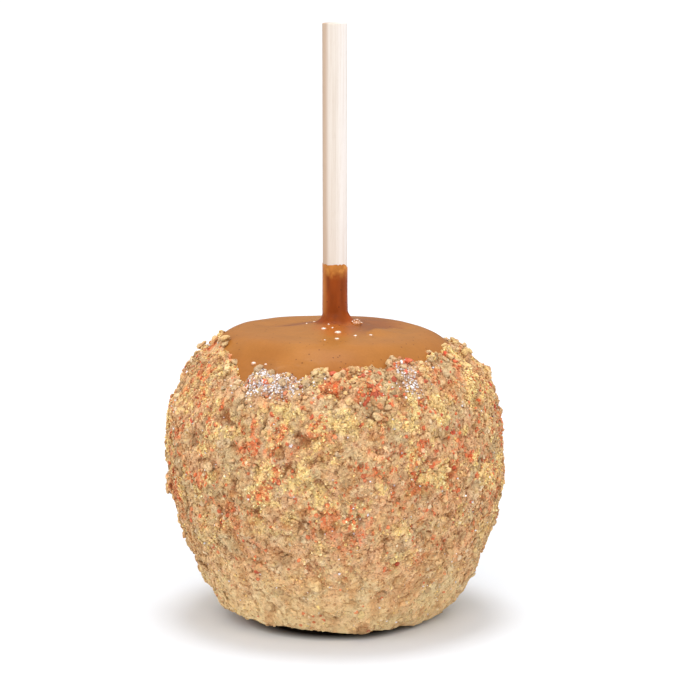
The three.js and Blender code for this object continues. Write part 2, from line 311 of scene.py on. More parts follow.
# ---------------- meshes

def link_object(name, data):
    """A new object in the scene."""
    made = bpy.data.objects.new(name, data)
    bpy.context.scene.collection.objects.link(made)
    return made


def make_object(name, vertices, faces, material, tint=None, smooth=True):
    """A mesh object from arrays; faces is a list of (count, corners) index arrays; tint is linear RGB."""
    mesh = bpy.data.meshes.new(name)
    loops = np.concatenate([part.ravel() for part in faces])
    sizes = np.concatenate([np.full(len(part), part.shape[1]) for part in faces])
    mesh.vertices.add(len(vertices))
    mesh.vertices.foreach_set("co", (vertices * MM).astype(np.float32).ravel())
    mesh.loops.add(len(loops))
    mesh.loops.foreach_set("vertex_index", loops.astype(np.int32))
    mesh.polygons.add(len(sizes))
    mesh.polygons.foreach_set("loop_start", (np.cumsum(sizes) - sizes).astype(np.int32))
    mesh.polygons.foreach_set("use_smooth", np.full(len(sizes), smooth))
    mesh.update(calc_edges=True)
    if tint is not None:
        colours = np.concatenate([np.clip(tint, 0, 1), np.ones((len(tint), 1))], 1)
        layer = mesh.color_attributes.new("tint", "FLOAT_COLOR", "POINT")
        layer.data.foreach_set("color", colours.astype(np.float32).ravel())
    mesh.materials.append(material)
    return link_object(name, mesh)


def add_value(made, name, values):
    """A number for each vertex, for the material to read."""
    layer = made.data.attributes.new(name, "FLOAT", "POINT")
    layer.data.foreach_set("value", values.astype(np.float32))


def grid_values(values):
    """A value for each point of a turned grid, in the order of closed_grid's vertices."""
    between = values[1:-1].reshape(-1, *values.shape[2:])
    return np.concatenate([values[0].mean(0)[None], between, values[-1].mean(0)[None]])


def closed_grid(points):
    """Vertices and faces of a turned grid whose first and last rows are single points."""
    rows, columns = points.shape[:2]
    vertices = grid_values(points)
    here = np.arange(columns)
    after = np.roll(here, -1)
    last = 1 + (rows - 3) * columns
    fan_low = np.stack([np.zeros(columns, int), 1 + after, 1 + here], -1)
    fan_high = np.stack([np.full(columns, len(vertices) - 1), last + here, last + after], -1)
    starts = 1 + (np.arange(rows - 3) * columns)[:, None]
    corners = [starts + here, starts + after, starts + columns + after, starts + columns + here]
    return vertices, [fan_low, np.stack(corners, -1).reshape(-1, 4), fan_high]


def blurred(values, reach):
    """values (row, column) averaged over reach neighbours each way; columns wrap round."""
    steps = range(-reach, reach + 1)
    values = sum(np.roll(values, step, axis=1) for step in steps) / len(steps)
    padded = np.pad(values, ((reach, reach), (0, 0)), mode="edge")
    return sum(padded[reach + step: reach + step + len(values)] for step in steps) / len(steps)


# ---------------- materials

class Shader:
    """The nodes of a material or a world. Its methods give back the output that feeds the next node."""

    def __init__(self, owner, **inputs):
        owner.use_nodes = True
        self.owner, self.tree = owner, owner.node_tree
        self.set(**inputs)

    def feed(self, socket, value):
        """Link an input to another node's output, or set it to a plain value."""
        if isinstance(value, bpy.types.NodeSocket):
            self.tree.links.new(value, socket)
        else:
            socket.default_value = value

    def set(self, surface="Principled BSDF", **inputs):
        """Set or link inputs of the surface; gives back what the nodes belong to."""
        for name, value in inputs.items():
            self.feed(self.tree.nodes[surface].inputs[name.replace("_", " ")], value)
        return self.owner

    def add(self, kind, inputs=None, **settings):
        """A new node."""
        node = self.tree.nodes.new(kind)
        for key, value in settings.items():
            setattr(node, key, value)
        for key, value in (inputs or {}).items():
            self.feed(node.inputs[key], value)
        return node

    def ramp(self, value, *stops):
        node = self.add("ShaderNodeValToRGB", {"Fac": value})
        elements = node.color_ramp.elements
        while len(elements) < len(stops):
            elements.new(0.5)
        for element, (at, colour) in zip(elements, stops):
            element.position = at
            element.color = (*colour, 1)
        return node.outputs["Color"]

    def tint(self):
        return self.add("ShaderNodeVertexColor", layer_name="tint").outputs["Color"]

    def value(self, name):
        """A number that add_value gave each vertex."""
        return self.add("ShaderNodeAttribute", attribute_name=name).outputs["Fac"]

    def place(self, stretch=(1, 1, 1)):
        """Object coordinates in millimetres, each divided by its stretch."""
        where = self.add("ShaderNodeTexCoord").outputs["Object"]
        scale = tuple(1 / (MM * part) for part in stretch)
        return self.add("ShaderNodeMapping", {"Vector": where, "Scale": scale}).outputs["Vector"]

    def noise(self, size, detail=3.0, roughness=0.55, stretch=(1, 1, 1)):
        inputs = {"Vector": self.place(stretch), "Scale": 1 / size, "Detail": detail, "Roughness": roughness}
        return self.add("ShaderNodeTexNoise", inputs).outputs["Fac"]

    def grey(self, value, low, high, start=0.0, end=1.0):
        """value mapped from low..high to start..end."""
        inputs = {"Value": value, "From Min": low, "From Max": high, "To Min": start, "To Max": end}
        return self.add("ShaderNodeMapRange", inputs).outputs["Result"]

    def mix(self, share, first, second, blend="MIX"):
        inputs = {0: share, 6: first, 7: second}
        return self.add("ShaderNodeMix", inputs, data_type="RGBA", blend_type=blend).outputs[2]

    def shaded(self, share, colour, pattern, low, high):
        """colour multiplied by shades along a pattern, whose ends are pairs of pattern value and shade."""
        return self.mix(share, colour, self.ramp(pattern, low, high), "MULTIPLY")

    def maths(self, operation, first, second):
        return self.add("ShaderNodeMath", {0: first, 1: second}, operation=operation).outputs[0]

    def bump(self, height, distance, strength, under=None):
        inputs = {"Height": height, "Distance": distance * MM, "Strength": strength}
        if under is not None:
            inputs["Normal"] = under
        return self.add("ShaderNodeBump", inputs).outputs["Normal"]


def shader_of(name, colour, **inputs):
    """A new material; its plain colour stands in where its nodes aren't read."""
    return Shader(bpy.data.materials.new(name), Base_Color=opaque(colour), **inputs)


def crumb_material(name, fallback, roughness=0.8):
    """Baked crumb: each piece's own tint, with stains, grain and painted shade in pits, dry but for wet places.
    """
    shader = shader_of(name, fallback, Roughness=roughness, Specular_IOR_Level=0.2,
                       Coat_Roughness=0.1, Coat_IOR=1.9)
    fine = shader.noise(0.4, detail=4)
    broad = shader.noise(1.2, detail=2)
    painted_pit_shade = shader.noise(0.9, detail=3, roughness=0.6)
    run = shader.noise(1.5, detail=3, stretch=(1, 1, 2))
    grainy = shader.value("grainy")
    stain = shader.maths("MULTIPLY", shader.grey(run, 0.6, 0.67, 0, 0.85), shader.value("stained"))
    tint = shader.mix(stain, shader.tint(), opaque(STAIN))
    tint = shader.shaded(
        shader.maths("MULTIPLY", grainy, 0.8), tint, fine, (0.3, (0.6, 0.58, 0.55)), (0.7, (1.24, 1.24, 1.23)))
    # Painted shade: dark warm spots stand for shade in tiny holes, fainter where the crumbs are pressed smooth.
    tint = shader.shaded(grainy, tint, painted_pit_shade, (0.33, (0.5, 0.36, 0.28)), (0.42, (1.03, 1.03, 1.03)))
    normal = shader.bump(fine, 0.16, 0.9, shader.bump(broad, 0.16, 0.6))
    coat = shader.maths("MULTIPLY", shader.value("wet"), 0.6)
    return shader.set(Base_Color=tint, Normal=normal, Coat_Weight=coat)


def caramel_material():
    """Set caramel: satin, tinted by thickness, with fine specks, and wet where the crumbs begin."""
    shader = shader_of("caramel", CARAMEL, Roughness=0.42, Specular_IOR_Level=0.13)
    speck = shader.add("ShaderNodeTexVoronoi", {"Vector": shader.place(), "Scale": 1 / 1.7}, feature="F1")
    dot = shader.grey(speck.outputs["Distance"], 0.07, 0.15, 0.85, 0)
    number = shader.add("ShaderNodeSeparateColor", {"Color": speck.outputs["Color"]}).outputs["Red"]
    chosen = shader.maths("GREATER_THAN", number, 0.3)
    fine = shader.noise(0.6, detail=3)
    tint = shader.shaded(0.6, shader.tint(), fine, (0.3, (0.93, 0.92, 0.9)), (0.7, (1.06, 1.06, 1.06)))
    tint = shader.mix(shader.maths("MULTIPLY", dot, chosen), tint, opaque(CARAMEL_SPECK))
    normal = shader.bump(fine, 0.02, 0.5, shader.bump(shader.noise(4, detail=2), 0.2, 0.4))
    wet = shader.value("wet")
    rough, coat = shader.grey(wet, 0.1, 0.8, 0.42, 0.12), shader.grey(wet, 0, 1, 0, 0.6)
    return shader.set(Base_Color=tint, Normal=normal, Roughness=rough, Coat_Weight=coat)


def bubble_material():
    """Bubbles in the caramel: glassy, with a pale crown painted as a highlight in their tint."""
    shader = shader_of("wet_caramel", BUBBLE, Roughness=0.08, Specular_IOR_Level=0.8,
                       Coat_Weight=1.0, Coat_Roughness=0.03, Coat_IOR=1.9)
    return shader.set(Base_Color=shader.tint())


def wood_material():
    """Pale sanded birch: long faint fibres and short pores."""
    shader = shader_of("birch", WOOD, Roughness=0.6, Specular_IOR_Level=0.2)
    fibre = shader.noise(0.42, detail=3, stretch=(1, 1, 60))
    band = shader.noise(1.6, detail=2, stretch=(1, 1, 90))
    pore = shader.noise(0.13, detail=1, stretch=(1, 1, 22))
    tint = shader.shaded(0.7, shader.tint(), band, (0.35, (0.93, 0.9, 0.87)), (0.6, (1.03, 1.03, 1.03)))
    tint = shader.shaded(0.6, tint, fibre, (0.34, (0.9, 0.86, 0.82)), (0.52, (1, 1, 1)))
    tint = shader.shaded(0.4, tint, pore, (0.28, (0.84, 0.78, 0.72)), (0.4, (1, 1, 1)))
    return shader.set(Base_Color=tint, Normal=shader.bump(pore, 0.03, 0.6, shader.bump(fibre, 0.04, 0.5)))


# ---------------- the camera, as the photograph was taken

CAMERA_PLACE = (3.85, -650, 175.4)
CAMERA_PITCH = 9.29  # degrees down
CAMERA_LENS, CAMERA_SENSOR = 131.58, 36


def add_camera():
    lens = bpy.data.cameras.new("camera")
    lens.lens = CAMERA_LENS
    lens.sensor_width = CAMERA_SENSOR
    camera = link_object("camera", lens)
    camera.location = Vector(CAMERA_PLACE) * MM
    camera.rotation_euler = (radians(90 - CAMERA_PITCH), 0, 0)
    bpy.context.scene.camera = camera


# ---------------- the caramel

WET_PLACES = ((-116, 14, 1.0), (-59, 5.5, 0.8), (35, 9, 0.6), (118, 10, 0.7))  # azimuth, half width, share
WET_START, WET_END = (61, 65), (69, 72)  # the heights over which the wet comes and goes

COVERED_HEIGHT = 58  # the caramel's rows lie closer above this, where no crumbs hide it
BASE_ROWS, COVERED_ROWS, BARE_ROWS, DOME_ROWS, FILLET_ROWS, FILM_ROWS = 5, 26, 54, 30, 20, 34


def wet_share(points):
    """1 where the caramel rides up wet between the topmost crumbs, 0 away from there."""
    azimuth, height = azimuth_of(points), points[..., 2]
    total = sum(share * bell(degrees_from(middle, azimuth), 0, half) for middle, half, share in WET_PLACES)
    return total * smoothstep(height, *WET_START) * (1 - smoothstep(height, *WET_END))


def edge_drop(azimuth):
    """How far the film's edge on the stick lies under its highest point."""
    swing = azimuth + 0.25 * np.sin(2 * azimuth + 1) + 0.1 * np.sin(5 * azimuth)
    rounds = SCALLOP_DEPTH * (1 - np.abs(np.cos(SCALLOPS / 2 * swing))) ** 1.3
    return rounds + RIGHT_DROP * smoothstep(np.cos(azimuth), 0.8, 1.0)


def eased(path, part, times):
    """Part of a path with its bend spread out."""
    path = path.copy()
    for _ in range(times):
        before, after = path[part.start - 1: part.stop - 1], path[part.start + 1: part.stop + 1]
        path[part] = (before + path[part] + after) / 3
    return path[part]


def dome_path():
    """From the crest in over the mound and up the fillet."""
    foot = STICK_RADIUS + FILM_FOOT
    out = np.linspace(CREST_RADIUS, foot + FILLET_REACH, DOME_ROWS)[1:]
    out = np.concatenate([out, foot + FILLET_REACH * np.linspace(1, 0.07, FILLET_ROWS)[1:] ** 2])
    rising = FILLET_HEIGHT * (1 - np.sqrt(np.clip((out - foot) / FILLET_REACH, 0, 1))) ** 1.4
    rising = rising + MOUND_HEIGHT * (1 - smoothstep(out, *MOUND_SPAN))
    pool = CREST_HEIGHT - POOL_DROP * (1 - smoothstep(out, POOL_RADIUS, CREST_RADIUS))
    return np.stack([out, pool + rising], -1)


def film_path(radius, height):
    """From there up the stick, over the film's lip and down beside the stick to its foot."""
    rise = np.linspace(0, 1, FILM_ROWS)[1:]
    film = lerp(radius - STICK_RADIUS, FILM_TOP, smoothstep(rise, 0, 0.4))
    lip = LIP_THICKNESS * bell((1 - rise) * (COLLAR_TOP - height), 0.45, 0.5)
    outside = np.stack([STICK_RADIUS + np.maximum(film, lip), lerp(height, COLLAR_TOP, rise)], -1)
    inside = [
        [STICK_RADIUS + 0.07, COLLAR_TOP + 0.12],
        [STICK_RADIUS + 0.03, COLLAR_TOP + 0.14],
        [STICK_RADIUS + 0.01, COLLAR_TOP - 1],
        [STICK_RADIUS + 0.01, STICK_LOW[2] - 0.2],
        [0, STICK_LOW[2] - 0.2],
    ]
    return np.concatenate([outside, inside])


def caramel_grid(columns=240):
    """The caramel's face, from the middle of the underside over the top to the foot of the stick."""
    base = np.stack([np.linspace(0, BASE_RADIUS, BASE_ROWS + 1)[:-1], np.full(BASE_ROWS, BASE_HEIGHT)], -1)
    side = side_path(600)
    covered = side[:, 1] < COVERED_HEIGHT
    side = np.concatenate([evenly(side[covered], COVERED_ROWS), evenly(side[~covered], BARE_ROWS)])
    dome = dome_path()
    path = np.concatenate([base, side, dome, film_path(*dome[-1])])
    crest_row = len(base) + len(side)
    crest = slice(crest_row - 16, crest_row + 8)
    path[crest] = eased(path, crest, 20)
    radius, height = path[:, :1], path[:, 1:]
    points = unround(turned(path, columns))
    bare = slice(len(base) + COVERED_ROWS, crest_row + len(dome))
    points[bare, :, 2] -= hollow_depth(points[bare])
    points[bare, :, 2] += crease_height(points[bare])
    points[..., 2] -= smoothstep(height, COLLAR_TOP - 5, COLLAR_TOP - 0.5) * edge_drop(azimuths(columns))
    low = smoothstep(POOL_HEIGHT + MOUND_HEIGHT + FILLET_HEIGHT - height, 0, 2.4) * (height > POOL_HEIGHT)
    outer = smoothstep(radius, 5, 12)
    points[..., 0] += FOOT_SHIFT * (low * (1 - outer))
    normal = grid_normals(points)
    wavy = 0.13 * noise(points, 9, 11) + 0.06 * noise(points, 4, 12)
    beaded = 0.6 * np.abs(noise(points, 1.4, 14)) * wet_share(points)
    points += normal * ((wavy + beaded) * outer)[..., None]
    runs = 0.03 * noise(points * (1, 1, 0.25), 1.3, 13)
    on_stick = (height > POOL_HEIGHT + 1) & (radius > STICK_RADIUS + 0.04) & (height < COLLAR_TOP - 0.2)
    return points + normal * (runs * on_stick)[..., None]


def caramel_tint(points):
    """Milky tan on the fruit, orange round the stick's foot, deep orange up the film and pale at its edge."""
    x, y, height = np.moveaxis(points, -1, 0)
    radius = np.hypot(x, y)
    mottle = 0.5 + 0.5 * noise(points, 8, 23)
    uneven = 0.16 * noise(points, 3.5, 24) + 0.1 * noise(points, 1.4, 28)
    apron = 1 - smoothstep(spread_from(points, *APRON) + uneven, 0.35, 1)
    apron = apron * smoothstep(height, POOL_HEIGHT - 4, POOL_HEIGHT)
    shoulder = smoothstep(radius, 20, 31) * (0.6 + 0.4 * noise(points, 5, 30))
    # Painted shade: browner in the hollows beside the stick and behind the lip, where shade falls.
    dip_shade = np.max([1 - smoothstep(spread_from(points, *ellipse), 0.3, 1) for ellipse in DIP_SHADES], axis=0)
    dip_shade = dip_shade * smoothstep(height, POOL_HEIGHT - 6, POOL_HEIGHT - 3)
    lip_x, lip_y = CREASE[2]
    behind = 0.48 * (y - lip_y) - 0.88 * (x - lip_x)  # millimetres behind the lip
    dip_shade = dip_shade * np.where(x > 0, smoothstep(behind, -0.6, 1.2), 1)
    climbing = 1 - smoothstep(radius + 0.4 * noise(points, 1.8, 29), 4.3, 6.2)
    climbing = climbing * smoothstep(height, POOL_HEIGHT, POOL_HEIGHT + 2)
    # Painted light: the film is paler along the stick's left side, standing in for light seen through its thin
    # edge.
    painted_light_left = 0.5 * smoothstep(-x / STICK_RADIUS, 0.5, 0.95)
    speckled = 0.5 + 0.8 * noise(points, 0.9, 25) + 0.5 * noise(points, 0.45, 27)
    near_edge = smoothstep(height, COLLAR_TOP - 4.2, COLLAR_TOP - 1.0) * np.clip(speckled, 0, 1)
    near_edge = np.maximum(near_edge, 0.65 * smoothstep(height, COLLAR_TOP - 3.4, COLLAR_TOP - 0.6))
    # The film share holds the pale upper edge, the caramel's own colour, and the painted light on the left.
    film = np.maximum(near_edge, painted_light_left * climbing * smoothstep(height, POOL_HEIGHT + 3, POOL_HEIGHT + 6))
    # Painted light: brighter upright streaks on the film and a brighter right side, where the lamps fall.
    painted_light_streaks = 0.2 * noise(points * (1, 1, 0.25), 0.9, 26) + 0.32 * smoothstep(x / STICK_RADIUS, 0.5, 1)
    blotch = 1 + 0.05 * noise(points, 6, 21) + 0.04 * noise(points, 2.2, 22)
    tint = washed(
        linear(CARAMEL),
        (CARAMEL_PALE, 0.6 * mottle),
        (CARAMEL_ORANGE, 0.75 * apron),
        (CARAMEL_SHOULDER, 0.5 * shoulder),
        (CARAMEL_DIP_SHADE, 0.8 * dip_shade * smoothstep(radius, 4, 7)),
        (CARAMEL_DEEP, 0.9 * climbing),
        (CARAMEL_FILM, 0.85 * film),
    )
    return tint * (blotch * (1 + painted_light_streaks * climbing))[..., None]


def add_caramel():
    points = caramel_grid()
    vertices, faces = closed_grid(points)
    coat = make_object("caramel_coat", vertices, faces, caramel_material(), grid_values(caramel_tint(points)))
    add_value(coat, "wet", grid_values(wet_share(points)))
    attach(coat, "root")
    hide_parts("caramel_apple")


BUBBLES = (  # x, y, radius
    (-2.8, -8.0, 0.8), (-1.6, -4.7, 0.36), (-0.6, -7.2, 0.4), (0.8, -11.7, 1.0), (0.6, -17.6, 0.7),
    (-2.4, -19.5, 0.35), (5.2, -14.1, 0.55), (9.1, -12.3, 0.55), (2.9, 7.9, 0.4), (-3.3, 5.7, 0.5),
    (-5.4, 3.1, 0.4), (-7.3, 1.0, 0.35),
)
BEADS = (  # azimuth, height, radius of the glints by the crumbs' edge
    (231, 69.8, 0.75), (237.5, 69.8, 0.45), (235, 68.6, 0.35), (300, 70.4, 0.35),
)
FOAM, FOAM_RADIUS, FOAM_BUBBLES = np.array((5.5, -2.0, 76.4)), 1.3, 9  # a dab of foam beside the stick
# Painted highlight: how much of it each kind's crown takes; on the foam's bubbles it is partly the foam's own
# pale colour.
PALE_BALL, PALE_FOAM, PALE_BUBBLE = 0.05, 0.32, 0.8  # how pale the crown of each kind is


def add_bubbles():
    """Small bubbles caught in the caramel round the stick's foot, foam, and glints by the crumbs' edge."""
    vertices, faces = closed_grid(caramel_grid(120))
    tree = BVHTree.FromPolygons(vertices.tolist(), [face for part in faces for face in part.tolist()])
    ball, triangles = ball_shape(3)
    # Painted highlight: the upper front of each ball is paler, where a lamp would glint.
    painted_highlight = smoothstep(ball[:, 2] - 0.3 * ball[:, 1], 0.5, 0.85)
    aimed_from = [((x, y, CREST_HEIGHT + 10), (0, 0, -1), radius) for x, y, radius in BUBBLES]
    for azimuth, height, radius in BEADS:
        outward = np.array([np.cos(radians(azimuth)), np.sin(radians(azimuth)), 0])
        aimed_from.append((outward * (BELLY_RADIUS + 10) + (0, 0, height), -outward, radius))
    placed = [(FOAM, FOAM_RADIUS, PALE_BALL)]
    rng = np.random.default_rng(5)
    for turn in azimuths(FOAM_BUBBLES) + rng.uniform(-0.2, 0.2, FOAM_BUBBLES):
        outward = FOAM_RADIUS * rng.uniform(0.75, 1.0) * np.array([np.cos(turn), -0.5, 0.7 * np.sin(turn)])
        placed.append((FOAM + outward, rng.uniform(0.25, 0.45), PALE_FOAM))
    for outside, way, radius in aimed_from:
        hit, normal, _, _ = tree.ray_cast(Vector(outside), Vector(way))
        placed.append((np.array(hit) - np.array(normal) * radius * 0.3, radius, PALE_BUBBLE))
    vertices = np.concatenate([ball * radius * (1, 1, 0.7) + middle for middle, radius, _ in placed])
    tint = np.concatenate([washed(linear(BUBBLE), (BUBBLE_HIGHLIGHT_AND_FOAM, pale * painted_highlight)) for _, _, pale in placed])
    faces = np.concatenate([triangles + index * len(ball) for index in range(len(placed))])
    bubbles = make_object("caramel_bubbles", vertices, [faces], bubble_material(), tint)
    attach(bubbles, "root")


# ---------------- the crust of crumbs

CRUST_ROWS, CRUST_COLUMNS, CRUST_BASE_ROWS = 205, 440, 31
CRUST_UNDER = 0.75  # the crust lies this far under the solid's face, which the loose crumbs then reach
RAY_REACH = 9  # rays start this far outside the caramel to find the solid coat
BARE_THICKNESS = -0.8  # where no crumbs lie
EDGE_HEIGHT, EDGE_TAPER = 69.2, 2.6
EDGE_TONGUES = (  # azimuth and half width in degrees, rise of the crumbs' upper edge
    (184, 20, 4.4), (205, 9, 2.2), (229, 6, -2.8), (243, 8, -1.4), (257, 4, -2.2), (300, 14, 1.0),
    (345, 24, 1.8), (40, 12, -2.2), (95, 20, 1.6), (132, 9, -2.6),
)
THINNINGS = (  # side, height, half height, share of the thickness that is missing there
    (-1, 70.5, 4.8, 0.9), (-1, 60.0, 3.5, 0.45), (1, 46.0, 4.5, 0.4),
)
BASE_FULLNESS = 1.0  # the crust is this much thicker round the flat it stands on, more on the left
UNDERCUT, UNDERCUT_SLOPE = 2.2, 0.05  # it lifts off the floor this far at the flat's rim, more on the left
UNDERCUT_RADII = (14.5, 19.5)  # from the smaller spot that stays on the floor
LARGE_PEBBLE, MIDDLE_PEBBLE, SMALL_PEBBLE = 6.4, 3.0, 1.5
UPRIGHT = (1, 1, 0.16)  # squeezes the height, which draws a pattern out into upright furrows


def crust_thickness(points, normals):
    """How far the solid coat's outer face lies out from the caramel at each point."""
    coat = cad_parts["crumb_coat"].data
    tree = BVHTree.FromPolygons([v.co / MM for v in coat.vertices], [tuple(p.vertices) for p in coat.polygons])
    thickness = np.full(points.shape[:2], BARE_THICKNESS)
    for spot in np.ndindex(thickness.shape):
        normal = Vector(normals[spot])
        hit, _, _, distance = tree.ray_cast(Vector(points[spot]) + normal * RAY_REACH, -normal, RAY_REACH + 0.5)
        if hit is not None:
            thickness[spot] = RAY_REACH - distance
    return thickness


def edge_height(azimuth):
    """Height of the crumbs' uneven upper edge."""
    height = EDGE_HEIGHT + 0.5 * np.sin(17 * azimuth) + 0.4 * np.sin(29 * azimuth + 1)
    for middle, half, rise in EDGE_TONGUES:
        height = height + rise * bell(degrees_from(middle, azimuth), 0, half)
    return height


def visible_thickness(points, solid):
    """The crust's thickness: the solid's, brought up to the crumbs' own edge and full round the foot."""
    height, azimuth = points[..., 2], azimuth_of(points)
    below = (edge_height(azimuth) - height) / EDGE_TAPER
    thickness = np.maximum(solid, CRUST_THICKNESS * np.sqrt(np.clip(below, 0, 1)))
    for side, middle, half, share in THINNINGS:
        here = smoothstep(side * np.cos(azimuth), 0.7, 0.95) * bell(height, middle, half)
        thickness = thickness * (1 - share * here)
    low = smoothstep(height, 0, 3) * (1 - smoothstep(height, 3, 12))
    full = thickness + BASE_FULLNESS * low * (1 - 0.5 * np.cos(azimuth))
    return np.where(below > 0, full, BARE_THICKNESS)


def crust_relief(points):
    """Crumbly relief in millimetres about the crust's mean face, and how deep in a crevice each point lies."""
    height = points[..., 2]
    pressed = lerp(0.4, 1.0, smoothstep(height, 5, 36))
    bent = points + 0.8 * np.stack([noise(points, 2.4, salt) for salt in (41, 42, 43)], -1)
    large, _ = pebbles(bent, LARGE_PEBBLE, 31)
    middle, joint = pebbles(bent, MIDDLE_PEBBLE, 35)
    small, _ = pebbles(points, SMALL_PEBBLE, 39)
    furrow = noise(points * UPRIGHT, 3.2, 45) * (1 - smoothstep(height, 12, 38))
    relief = pressed * np.maximum(0.5 * large + 1.15 * middle + 0.4 * small - 1.1, -0.55) + 0.5 * furrow
    relief = relief + 0.22 * noise(points, 0.8, 40) - 0.16 * pressed * joint
    packed = 0.28 * large + 0.5 * middle + 0.22 * small
    return relief, pressed * np.clip(1 - smoothstep(packed, 0.3, 0.66) + 0.35 * joint, 0, 1)


def crust_grid():
    """The crust's face, with a lid over the top, and for each point its crevice depth and how bare it is."""
    flat = np.linspace(0, BASE_RADIUS, CRUST_BASE_ROWS + 1)[:-1]
    base = np.stack([flat, np.full(CRUST_BASE_ROWS, BASE_HEIGHT)], -1)
    path = np.concatenate([base, side_path(CRUST_ROWS - len(base) - 1)])
    points = unround(turned(path, CRUST_COLUMNS))
    normals = grid_normals(points)
    normals[:len(base)] = (0, 0, -1)
    solid = blurred(blurred(crust_thickness(points, normals), 2), 2)
    thickness = blurred(visible_thickness(points, solid), 1)
    relief, depth = crust_relief(points)
    bare = 1 - smoothstep(thickness, -0.2, 0.7)
    lift = thickness - CRUST_UNDER * smoothstep(thickness, 0, 2) + relief * (1 - bare) - 0.4 * bare
    surface = points + normals * lift[..., None]
    rim = smoothstep(np.hypot(surface[..., 0] - LEAN, surface[..., 1]), *UNDERCUT_RADII)
    under = rim * (UNDERCUT - UNDERCUT_SLOPE * surface[..., 0])
    surface[..., 2] = np.maximum(surface[..., 2], under * (1 + 0.18 * noise(surface, 4, 46)))
    lid = np.broadcast_to((0, 0, CREST_HEIGHT - 8), surface[-1:].shape)
    depth, bare = (np.concatenate([values, values[-1:]]) for values in (depth, bare))
    return np.concatenate([surface, lid]), depth, bare


# Size and salt of the patterns that both the crust's colour and its coloured bits follow.
YELLOW_CLUSTERS, ORANGE_STREAKS, STREAKED = (3.8, 67), (2.8, 69), (1, 1, 0.55)


def upper(points):
    """Coloured bits are thick on the upper half and thin out below."""
    return 0.25 + 0.75 * smoothstep(points[..., 2], 12, 46)


def toned(tones, number):
    """A blend along the tones for each number from 0 to 1."""
    table = linear(tones)
    place = np.clip(number, 0, 1) * (len(table) - 1)
    low = np.minimum(place.astype(int), len(table) - 2)
    return lerp(table[low], table[low + 1], (place - low)[..., None])


def crumb_colour(points):
    """The crumbs' colour at a place: biscuit in patches, stained yellow, orange and red by the bits in it."""
    height, many = points[..., 2], upper(points)
    biscuit = 0.5 + 0.5 * noise(points, 3.0, 61) + 0.5 * noise(points, 1.2, 62)
    brown = 0.6 * noise(points, 3.6, 63) + 0.5 * noise(points, 1.5, 64)
    pale = 0.6 * noise(points, 3.4, 65) + 0.5 * noise(points, 1.5, 66)
    hue = 0.7 * noise(points, 5.0, 73) + 0.5 * noise(points, 2.4, 74)
    yellow = 0.65 * noise(points, *YELLOW_CLUSTERS) + 0.45 * noise(points, 1.1, 68)
    stain = 0.7 * noise(points * STREAKED, *ORANGE_STREAKS) + 0.4 * noise(points, 1.0, 70)
    furrow = smoothstep(noise(points * UPRIGHT, 2.4, 75), 0, 0.5) * (1 - smoothstep(height, 20, 36))
    low = 1 - smoothstep(height, 2, 26)
    return washed(
        toned(BISCUIT_TONES, biscuit),
        (TOASTED_TONES[0], 0.75 * smoothstep(brown, 0.1, 0.45)),
        (PALE_TONES[0], 0.55 * smoothstep(pale, 0.12, 0.45)),
        (ROSY, 0.36 * smoothstep(hue, 0.05, 0.5)),
        (GREYED, 0.65 * smoothstep(-hue, 0.05, 0.5)),
        (YELLOW_TONES[0], 0.65 * (smoothstep(yellow, 0.17, 0.4) * many)),
        (ORANGE_TONES[0], 0.7 * smoothstep(stain, 0.3, 0.5) * many),
        (WET_TINT, 0.35 * np.minimum(wet_share(points), 1)),
        (FURROW, 0.6 * furrow),
        # Paler towards the bottom: partly the pressed crumbs' own tone, partly painted light for bounced light.
        (PRESSED_AND_LIT, 0.6 * low * (1 - 0.8 * furrow)),
    )


def add_crumb_values(made, points, to_vertices, stain=1.0):
    """What the crumb material reads: wet places, stains that run down, and grain, pressed smoother low down.

    to_vertices turns a value for each point into one for each vertex.
    """
    stained = upper(points) * (0.2 + 0.8 * smoothstep(noise(points, 6, 76), -0.25, 0.3))
    grainy = lerp(0.45, 1.0, smoothstep(points[..., 2], 4, 26))
    for name, values in (("wet", wet_share(points)), ("stained", stained * stain), ("grainy", grainy)):
        add_value(made, name, to_vertices(values))


def add_crust():
    points, depth, bare = crust_grid()
    vertices, faces = closed_grid(points)
    # Painted shade: the crust is taken towards the caramel's brown by crevice depth, partly caramel between
    # crumbs and partly shade.
    tint = washed(crumb_colour(points), (CREVICE_CARAMEL_AND_SHADE, 0.65 * depth))
    material = crumb_material("crumb_crust", CRUST)
    crust = make_object("crumb_crust", vertices, faces, material, grid_values(tint), smooth=False)
    add_crumb_values(crust, points, grid_values)
    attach(crust, "root")
    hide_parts("crumb_coat")
    return Ground(points, depth, bare)


# ---------------- loose crumbs and bits

def ball_shape(divisions):
    """Unit icosphere: vertices and triangles."""
    builder = bmesh.new()
    bmesh.ops.create_icosphere(builder, subdivisions=divisions, radius=1)
    vertices = np.array([v.co for v in builder.verts])
    triangles = np.array([[v.index for v in face.verts] for face in builder.faces])
    builder.free()
    return vertices, triangles


def ball_shapes(divisions, variants, radii, *settings):
    """Balls whose vertices are moved to the radii that a function gives for their directions."""
    ball, triangles = ball_shape(divisions)
    direction = unit(ball)
    return np.array([direction * radii(direction, *settings)[:, None] for _ in range(variants)]), triangles


def cluster(direction, parts, part_size, rng):
    """The outline of small balls stuck together, seen from the middle."""
    middles = unit(rng.normal(size=(parts, 3))) * rng.uniform(0.3, 0.62, (parts, 1))
    size = part_size * rng.uniform(0.75, 1.25, parts)
    across = direction @ middles.T
    inside = size**2 - (middles**2).sum(1) + across**2
    far = np.where(inside > 0, across + np.sqrt(np.maximum(inside, 0)), 0)
    radius = np.maximum(far.max(1), 0.42) * rng.uniform(0.86, 1.14, len(direction))
    return radius / radius.max()


